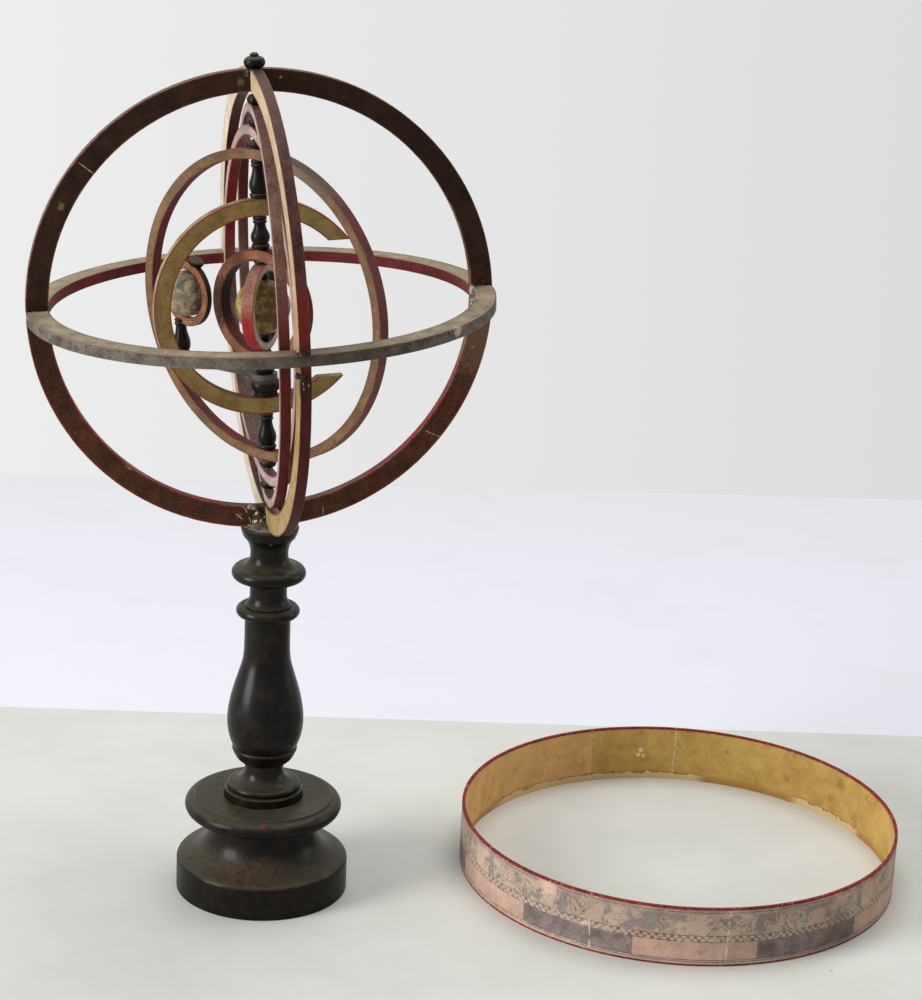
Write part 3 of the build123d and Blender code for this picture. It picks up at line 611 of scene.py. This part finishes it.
def iron(name):
    """Dull iron wire with rust."""
    shader = Shader(name)
    rust = shader.rise(shader.noise(2 * MM, 5.0, 0.7), 0.5, 0.7)
    colour = shader.mix(rust, tone(96, 92, 88), tone(84, 56, 40))
    shader.surface.inputs["Metallic"].default_value = 0.8
    shader.relief(rust, 0.05 * MM)
    return shader.finish(colour, shader.math("MULTIPLY_ADD", rust, 0.3), 0.5)


wire_iron = iron("wire_iron")
dress("polar_wire", wire_iron)
dress("earth_pin", wire_iron)


def bar_wood(name):
    """Thin stained bar, grey with handling."""
    shader = Shader(name)
    stretched = shader.vector("MULTIPLY", shader.place, (1.0, 1.0, 8.0))
    grain = shader.noise(3 * MM, 6.0, 0.7, stretched)
    colour = shader.mix(shader.rise(grain, 0.35, 0.65), tone(54, 50, 47), tone(92, 86, 80))
    shader.relief(grain, 0.15 * MM, 0.3 * MM)
    return shader.finish(colour, 0.5, 0.35)


dress("earth_arm", bar_wood("arm_wood"))


def ball_paint(name, base, second, patch, speck, patch_share, rough):
    """Painted ball: clouds of two colours, ragged patches of a third and dark specks."""
    shader = Shader(name)
    clouds = shader.noise(5 * MM, 6.0, 0.65)
    patches = shader.rise(shader.noise(7 * MM, 7.0, 0.68, warp=0.5), 0.49, 0.58)
    colour = shader.mix(shader.rise(clouds, 0.42, 0.58), tone(*base), tone(*second))
    colour = shader.mix(shader.both(patches, patch_share), colour, tone(*patch))
    pits = shader.rise(shader.cells(2.2 * MM), 0.16, 0.08)
    colour = shader.mix(shader.both(pits, 0.7), colour, tone(*speck))
    fine = shader.noise(0.7 * MM, 4.0, 0.75)
    colour = shader.mix(shader.both(shader.rise(fine, 0.55, 0.75), 0.4), colour, tone(*speck))
    shader.relief(shader.math("SUBTRACT", fine, pits), 0.15 * MM)
    return shader.finish(colour, rough, 0.2)


dress("sun", ball_paint(
    "sun_paint", (166, 140, 84), (116, 88, 48), (84, 58, 34), (30, 20, 14), 0.55, 0.5))
dress("earth_globe", ball_paint(
    "earth_paint", (176, 164, 134), (134, 116, 90), (56, 64, 50), (44, 40, 32), 0.75, 0.45))


# Glue at the joints of the hoops, in small ragged lumps

LUMP_DIVISIONS = 4


def glue(name, light, dark, flake=(206, 190, 160), flake_size=0.8 * MM, flake_level=0.6):
    """Old glue in clouds of two colours, with flakes where a noise rises above flake_level."""
    shader = Shader(name)
    blend = shader.rise(shader.noise(1.6 * MM, 5.0, 0.75, warp=0.6), 0.44, 0.56)
    colour = shader.mix(blend, tone(*light), tone(*dark))
    flecks = shader.rise(shader.noise(flake_size, 3.0, 0.7), flake_level, flake_level + 0.04)
    colour = shader.mix(shader.both(flecks, 0.85), colour, tone(*flake))
    shader.relief(shader.noise(0.8 * MM, 4.0, 0.7), 0.08 * MM)
    return shader.finish(colour, 0.5, 0.15)


def lump(name, centre, reach, material):
    """Ragged lump about a point, reach millimetres each way: right, away and up."""
    shape = bmesh.new()
    bmesh.ops.create_icosphere(shape, subdivisions=LUMP_DIVISIONS, radius=1)
    for vertex in shape.verts:
        way = vertex.co.normalized()
        broad = noise.noise(way * 1.7 + centre * 400)
        small = noise.noise(way * 5 + centre * 900)
        swell = 1 + 0.3 * broad + 0.16 * small
        offset = Vector([part * (length * MM) for part, length in zip(way, reach)]) * swell
        vertex.co = centre + level_right * offset.x + level_away * offset.y + up * offset.z
    for face in shape.faces:
        face.smooth = True
    mesh = bpy.data.meshes.new(name)
    shape.to_mesh(mesh)
    shape.free()
    mesh.materials.append(material)
    piece = bpy.data.objects.new(name, mesh)
    bpy.context.scene.collection.objects.link(piece)
    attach(piece, "stand")


dark_glue = glue("dark_glue", (30, 24, 20), (62, 52, 42))
grey_glue = glue("grey_glue", (150, 140, 124), (84, 74, 64))
white_glue = glue("white_glue", (196, 194, 186), (120, 116, 106))
dirty_glue = glue("dirty_glue", (98, 88, 74), (60, 54, 46), (130, 118, 98), 1.2 * MM)
flaked_glue = glue("flaked_glue", (52, 50, 42), (34, 32, 28), (224, 186, 122), 2.4 * MM, 0.52)
capital_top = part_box("column")[1][2]
lump("seat_glue", Vector((0, 0, capital_top - 1 * MM)), (11, 11, 2.6), dirty_glue)
for name, pixel, node, reach, material in (
        ("front_glue_over", (301, 355), "equinoctial_colure", (2.4, 2.0, 1.1), dark_glue),
        ("front_glue_under", (300, 376), "equinoctial_colure", (2.2, 1.4, 1.5), dark_glue),
        ("right_glue_over", (472, 290), "ecliptic_ring", (1.4, 1.6, 2.4), white_glue),
        ("right_glue_under", (472, 302), "ecliptic_ring", (1.3, 1.4, 2.0), white_glue),
        ("flaked_glue", (259, 520), "solstitial_colure", (4.4, 1.4, 5.4), flaked_glue),
        ("foot_glue_right", (283, 513), "solstitial_colure", (4.2, 2.0, 2.0), grey_glue),
        ("foot_glue_left", (252, 507), "solstitial_colure", (2.4, 1.2, 1.6), grey_glue),
        ("top_glue", (247, 72), "solstitial_colure", (1.6, 1.0, 2.0), dark_glue)):
    lump(name, seen(*pixel, node), reach, material)


# Zodiac band: printed paper outside, plain yellowed paper inside, red rims. Angles are degrees
# round the band from its own middle, and heights are millimetres above the table

BAND_WALL = 1.6 * MM
FIELD_ANGLE = 31.0
FIRST_FIELD = 6.6
SQUARE_ANGLE = 0.95
FIELD_ROW = (3.2, 12.6)
SCALE_ROW = (13.0, 15.9)
SCALE_MIDDLE = (14.4, 14.5)
LINE_HEIGHTS = (2.3, 3.2, 12.8, 16.1, 28.2)
LEFT_SEAM = 98.5
BROWN_STAIN = (132, 82, 44)
WHITE_GLUE = (232, 220, 188)

# Patches are angle, height, near, far, colour and share; cracks are two angles with their heights,
# a width and, inside, a colour. Near, far and width are millimetres

OUTER_PATCHES = (
    (-84.5, 5, 1.2, 2.4, (146, 96, 66), 0.7), (-130, 14, 1.0, 2.2, (226, 196, 186), 0.7),
    (-60, 5, 5, 16, (84, 80, 76), 0.45), (-141, 27, 2, 7, (230, 190, 164), 0.7),
    (-52, 17, 0.6, 1.4, (206, 190, 176), 0.7))
OUTER_CRACKS = (
    (-93.8, 30.4, -94.3, 3.2, 0.9), (-95.6, 7, -95.8, 0.5, 0.7), (-128.8, 17, -128.2, 0.8, 0.8),
    (-131.0, 28, -130.6, 16, 0.5), (-149.5, 4, -150.2, 0.6, 0.5))
INNER_PATCHES = (
    (21, 23, 0.5, 4.5, BROWN_STAIN, 0.55), (24, 12, 0.5, 5, BROWN_STAIN, 0.4),
    (40, 13, 0.5, 2.8, (120, 76, 60), 0.55), (90, 19, 0.5, 2.6, BROWN_STAIN, 0.4),
    (59, 20, 0.3, 1.5, BROWN_STAIN, 0.6), (84, 17, 0.9, 1.5, WHITE_GLUE, 0.9),
    (84.6, 14, 0.8, 1.3, WHITE_GLUE, 0.9), (83, 13.6, 0.7, 1.2, WHITE_GLUE, 0.8),
    (34.2, 3.6, 0.7, 1.5, (48, 26, 18), 0.95))
INNER_CRACKS = (
    (74, 29, 74.4, 0.5, 0.6, WHITE_GLUE), (36.5, 28.5, 31, 20, 0.35, WHITE_GLUE),
    (98.6, 30, 98.2, 1, 0.5, (120, 86, 52)))


def band_paint():
    shader = Shader("zodiac_band_paint")
    low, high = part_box("zodiac_band")
    centre = middle("zodiac_band")
    outer = (high[0] - low[0]) / 2
    top = high[2]
    offset = shader.vector("SUBTRACT", shader.place, (centre.x, centre.y, 0))
    x = shader.vector("DOT_PRODUCT", offset, (1, 0, 0))
    y = shader.vector("DOT_PRODUCT", offset, (0, 1, 0))
    z = shader.vector("DOT_PRODUCT", offset, (0, 0, 1))
    radius = shader.math("SQRT", shader.math("ADD", shader.both(x, x), shader.both(y, y)))
    angle = shader.both(shader.math("ARCTAN2", y, x), 180 / math.pi)
    outward = shader.rise(radius, outer - 1.0 * MM, outer - 0.6 * MM)
    clouds = shader.noise(12 * MM, 6.0, 0.65)
    fine = shader.noise(1.0 * MM, 5.0, 0.75)
    blend = shader.rise(shader.math("ADD", shader.both(clouds, 0.55), shader.both(fine, 0.45)), 0.36, 0.64)

    def spot(degrees, height, away):
        turn = math.radians(degrees)
        return Vector((centre.x + away * math.cos(turn), centre.y + away * math.sin(turn), height * MM))

    def level_line(height):
        gap = shader.math("ABSOLUTE", shader.math("SUBTRACT", z, height * MM))
        return shader.rise(gap, 0.24 * MM, 0.14 * MM)

    def between(bottom, above):
        return shader.both(shader.rise(z, (bottom - 0.1) * MM, (bottom + 0.1) * MM),
                           shader.rise(z, (above + 0.1) * MM, (above - 0.1) * MM))

    # Outside, lower row: fields that alternate pink and purple-grey
    paper = shader.mix(blend, tone(194, 168, 146), tone(162, 136, 120))
    faded = shader.rise(shader.noise(24 * MM, 5.0, 0.6), 0.42, 0.62)
    paper = shader.mix(shader.both(faded, 0.5), paper, tone(206, 190, 168))
    turn = shader.math("DIVIDE", shader.math("SUBTRACT", angle, FIRST_FIELD), FIELD_ANGLE)
    alternate = shader.math("FLOORED_MODULO", shader.math("FLOOR", turn), 2.0)
    grey = shader.mix(blend, tone(152, 136, 132), tone(96, 84, 86))
    pink = shader.mix(blend, tone(202, 168, 148), tone(174, 140, 122))
    smears = shader.both(shader.rise(shader.noise(7 * MM, 6.0, 0.7, warp=0.8), 0.48, 0.68), 0.6)
    grey = shader.mix(smears, grey, tone(66, 60, 64))
    row = shader.mix(alternate, pink, grey)
    colour = shader.mix(shader.both(between(*FIELD_ROW), 0.95), paper, row)

    # Upper row: worn engraving in blue-grey, as loose contours and shading of no special figure
    high_row = shader.both(shader.rise(z, 16.2 * MM, 17 * MM), shader.rise(z, 28 * MM, 26 * MM))
    forms = shader.noise(11 * MM, 4.0, 0.55, warp=0.7)
    shaded = shader.rise(forms, 0.5, 0.62)
    contour = shader.rise(shader.math("ABSOLUTE", shader.math("SUBTRACT", forms, 0.5)), 0.012, 0.005)
    inner_contour = shader.math("ABSOLUTE", shader.math("SUBTRACT", forms, 0.57))
    inner_contour = shader.rise(inner_contour, 0.009, 0.004)
    hatching = shader.rise(shader.noise(0.7 * MM, 4.0, 0.8, warp=2.0), 0.48, 0.6)
    hatching = shader.both(shader.both(hatching, shaded), 0.8)
    drawn = shader.either(shader.either(contour, inner_contour), hatching)
    wash = shader.both(shader.both(shaded, high_row), 0.6)
    colour = shader.mix(wash, colour, tone(112, 116, 118))
    ink = shader.both(shader.both(drawn, high_row), 0.8)

    # Checkered scale of two rows, and the lines above and below each row
    squares = shader.math("FLOOR", shader.math("DIVIDE", angle, SQUARE_ANGLE))
    squares = shader.math("FLOORED_MODULO", squares, 2.0)
    upper_row = shader.rise(z, SCALE_MIDDLE[0] * MM, SCALE_MIDDLE[1] * MM)
    flip = shader.math("ABSOLUTE", shader.math("SUBTRACT", squares, upper_row))
    ink = shader.either(ink, shader.both(between(*SCALE_ROW), shader.both(flip, 0.75)))
    for height in LINE_HEIGHTS:
        ink = shader.either(ink, level_line(height))
    kept = shader.rise(shader.noise(4 * MM, 5.0, 0.75), 0.34, 0.56)
    colour = shader.mix(shader.both(shader.both(ink, kept), 0.9), colour, tone(44, 52, 62))
    edges_grey = shader.both(shader.rise(z, 25 * MM, 29 * MM), shader.rise(clouds, 0.4, 0.6))
    colour = shader.mix(shader.both(edges_grey, 0.45), colour, tone(112, 92, 90))
    for degrees, height, near, far, paint, share in OUTER_PATCHES:
        colour = shader.patch(colour, spot(degrees, height, outer), near, far, paint, share)
    for degrees, height, end_degrees, end_height, width in OUTER_CRACKS:
        start, end = spot(degrees, height, outer), spot(end_degrees, end_height, outer)
        colour = shader.scratch(colour, start, end, width, (214, 200, 176), 0.85, 5 * MM)
    grime = shader.both(shader.rise(shader.noise(6 * MM, 6.0, 0.75), 0.54, 0.74), 0.35)
    colour = shader.mix(grime, colour, tone(118, 92, 80))

    # Inside: yellowed paper, pinker at its left end, with stains, glue and a flaked lower edge
    yellow = shader.mix(blend, tone(206, 171, 96), tone(178, 142, 75))
    tan = shader.mix(blend, tone(230, 184, 120), tone(204, 158, 98))
    left_end = shader.math("ADD", angle, shader.both(clouds, 2.0))
    left_end = shader.rise(left_end, LEFT_SEAM, LEFT_SEAM + 1)
    left_end = shader.either(left_end, shader.rise(angle, -100.0, -101.0))
    yellow = shader.mix(left_end, yellow, tan)
    stains = shader.rise(shader.noise(14 * MM, 7.0, 0.72, warp=1.2), 0.5, 0.72)
    yellow = shader.mix(shader.both(stains, 0.55), yellow, tone(158, 112, 60))
    inner = outer - BAND_WALL
    for degrees, height, near, far, paint, share in INNER_PATCHES:
        yellow = shader.patch(yellow, spot(degrees, height, inner), near, far, paint, share)
    for degrees, height, end_degrees, end_height, width, paint in INNER_CRACKS:
        start, end = spot(degrees, height, inner), spot(end_degrees, end_height, inner)
        yellow = shader.scratch(yellow, start, end, width, paint, 0.7, 2 * MM)
    ragged = shader.math("ADD", z, shader.both(shader.noise(6 * MM, 6.0, 0.75), 9 * MM))
    torn = shader.rise(ragged, 8.4 * MM, 8.0 * MM)
    torn_edge = shader.math("ABSOLUTE", shader.math("SUBTRACT", ragged, 8.4 * MM))
    torn_edge = shader.rise(torn_edge, 0.4 * MM, 0.15 * MM)
    flaked = shader.either(shader.both(shader.rise(angle, 64.0, 68.0), shader.rise(angle, 140.0, 130.0)),
                           shader.both(shader.rise(angle, 10.0, 13.0), shader.rise(angle, 40.0, 35.0)))
    yellow = shader.mix(shader.both(shader.both(torn, flaked), 0.8), yellow, tone(222, 198, 150))
    yellow = shader.mix(shader.both(shader.both(torn_edge, flaked), 0.8), yellow, tone(100, 66, 38))
    foot_stain = shader.both(shader.rise(ragged, 10 * MM, 6 * MM), shader.without(flaked))
    yellow = shader.mix(shader.both(foot_stain, 0.5), yellow, tone(146, 88, 50))
    colour = shader.mix(outward, yellow, colour)

    # Red rims, rubbed through in places, with dark spots along the top
    wander = shader.both(shader.math("SUBTRACT", fine, 0.5), 1.6 * MM)
    from_top = shader.math("ADD", shader.math("SUBTRACT", top, z), wander)
    from_foot = shader.math("ADD", z, wander)
    foot_edge = shader.both(shader.rise(from_foot, 1.3 * MM, 0.8 * MM), shader.rise(outward, 0.2, 0.5))
    red_edge = shader.either(shader.rise(from_top, 1.3 * MM, 0.8 * MM), foot_edge)
    red = shader.mix(blend, tone(150, 42, 38), tone(96, 26, 28))
    kept_red = shader.rise(shader.noise(2.2 * MM, 5.0, 0.8), 0.68, 0.56)
    colour = shader.mix(shader.both(red_edge, kept_red), colour, red)
    bare = shader.both(shader.both(red_edge, shader.without(kept_red)), 0.8)
    colour = shader.mix(bare, colour, tone(196, 138, 108))
    blots = shader.rise(shader.noise(5 * MM, 5.0, 0.75), 0.6, 0.7)
    blots = shader.both(blots, shader.rise(from_top, 2.6 * MM, 2 * MM))
    colour = shader.mix(shader.both(blots, 0.8), colour, tone(72, 30, 26))
    shader.relief(shader.math("ADD", fine, shader.both(clouds, 1.2)), 0.25 * MM, 0.4 * MM, 0.6)
    return shader.finish(colour, 0.6, 0.15)


dress("zodiac_band", band_paint())


# Stage: a pale table with a sheet of white paper behind it, in a white room


def on_table(x, y):
    """Point of the table behind a pixel of the photograph."""
    way = sight(x, y)
    return eye - way * (eye.z / way.z)


def line_on_table(first, second):
    """A point on the table's line through two pixels, and the line's direction and level normal."""
    start, end = on_table(*first), on_table(*second)
    along = (end - start).normalized()
    return start, along, Vector((-along.y, along.x, 0))


FLOOR_REACH = 4
PAPER_FADE = 0.2
TABLE_TONES = (229, 229, 222), (221, 221, 213)
PAPER_TONES = (243, 243, 250), (243, 243, 247)
far_point, far_along, far_normal = line_on_table((0, 474), (922, 500))
paper_point, _, paper_normal = line_on_table((0, 707), (870, 735))
far_left, far_right = far_point - far_along * FLOOR_REACH, far_point + far_along * FLOOR_REACH
corners = [far_left - far_normal * FLOOR_REACH, far_right - far_normal * FLOOR_REACH, far_right, far_left]
table_mesh = bpy.data.meshes.new("table")
table_mesh.from_pydata(corners, [], [(0, 1, 2, 3)])
table = bpy.data.objects.new("table", table_mesh)
bpy.context.scene.collection.objects.link(table)


def table_paint():
    """Pale table up to the sheet's edge, then white paper that grows warmer towards its far edge."""
    shader = Shader("table_top")
    smudges = shader.noise(0.09, 5.0, 0.6)
    wood = shader.mix(shader.rise(smudges, 0.3, 0.7), tone(*TABLE_TONES[0]), tone(*TABLE_TONES[1]))
    crumbs = shader.rise(shader.cells(60 * MM), 0.014, 0.008)
    wood = shader.mix(shader.both(crumbs, 0.7), wood, tone(120, 104, 88))
    back = shader.vector("DOT_PRODUCT", shader.place, tuple(far_normal))
    far_edge = far_normal.dot(far_point)
    paper = shader.rise(back, far_edge - PAPER_FADE, far_edge)
    paper = shader.mix(paper, tone(*PAPER_TONES[0]), tone(*PAPER_TONES[1]))
    paper = shader.mix(shader.both(shader.rise(smudges, 0.5, 0.8), 0.2), paper, tone(226, 224, 222))
    back = shader.vector("DOT_PRODUCT", shader.place, tuple(paper_normal))
    paper_edge = paper_normal.dot(paper_point)
    colour = shader.mix(shader.rise(back, paper_edge, paper_edge + 1 * MM), wood, paper)
    return shader.finish(colour, 0.7, 0.1)


table_mesh.materials.append(table_paint())

# The room lights the object evenly. What sees it directly or by reflection gets a pale wall, a
# little darker to the right

ROOM_COLOUR = (0.97, 0.98, 1.0, 1)
ROOM_STRENGTH = 0.27
WALL_LEFT, WALL_RIGHT = (236, 237, 236), (221, 220, 221)
WALL_SPAN = 0.18

world = bpy.data.worlds.new("room")
world.use_nodes = True
bpy.context.scene.world = world
room = Nodes(world.node_tree)
light = world.node_tree.nodes["Background"]
light.inputs["Color"].default_value = ROOM_COLOUR
light.inputs["Strength"].default_value = ROOM_STRENGTH
sideways = room.vector("DOT_PRODUCT", room.coordinates.outputs["Generated"], tuple(level_right))
sideways = room.rise(sideways, -WALL_SPAN, WALL_SPAN, "LINEAR")
wall = world.node_tree.nodes.new("ShaderNodeBackground")
room.feed(wall.inputs["Color"], room.mix(sideways, tone(*WALL_LEFT), tone(*WALL_RIGHT)))
light_path = world.node_tree.nodes.new("ShaderNodeLightPath")
shows_wall = light_path.outputs["Is Camera Ray"]
for ray in ("Is Glossy Ray", "Is Transmission Ray"):
    shows_wall = room.either(shows_wall, light_path.outputs[ray])
either = world.node_tree.nodes.new("ShaderNodeMixShader")
for socket, output in zip(either.inputs, (shows_wall, light.outputs[0], wall.outputs[0])):
    room.feed(socket, output)
room.feed(world.node_tree.nodes["World Output"].inputs["Surface"], either.outputs[0])


# Lamps: bearing in degrees to the right of the camera, elevation, distance, width, height and watts

LAMP_AIM = Vector((0.08, 0, 0.18))


def lamp(name, bearing, elevation, distance, width, height, power, colour=(1, 1, 1)):
    """Soft light aimed at the object's middle."""
    data = bpy.data.lights.new(name, "AREA")
    data.shape = "RECTANGLE"
    data.size = width
    data.size_y = height
    data.energy = power
    data.color = colour
    turn = math.radians(CAMERA_AZIMUTH - bearing)
    rise = math.radians(elevation)
    way = Vector((-math.sin(turn) * math.cos(rise), -math.cos(turn) * math.cos(rise), math.sin(rise)))
    light = bpy.data.objects.new(name, data)
    light.location = LAMP_AIM + way * distance
    light.rotation_euler = way.to_track_quat("Z", "Y").to_euler()
    bpy.context.scene.collection.objects.link(light)


lamp("window", -67, 15, 1.9, 0.8, 1.1, 36, (0.97, 0.98, 1.0))
lamp("ceiling", 150, 74, 1.8, 1.5, 1.5, 19)
lamp("far_side", 98, 15, 2.0, 0.7, 1.0, 5)

bpy.context.scene.view_settings.view_transform = "Standard"
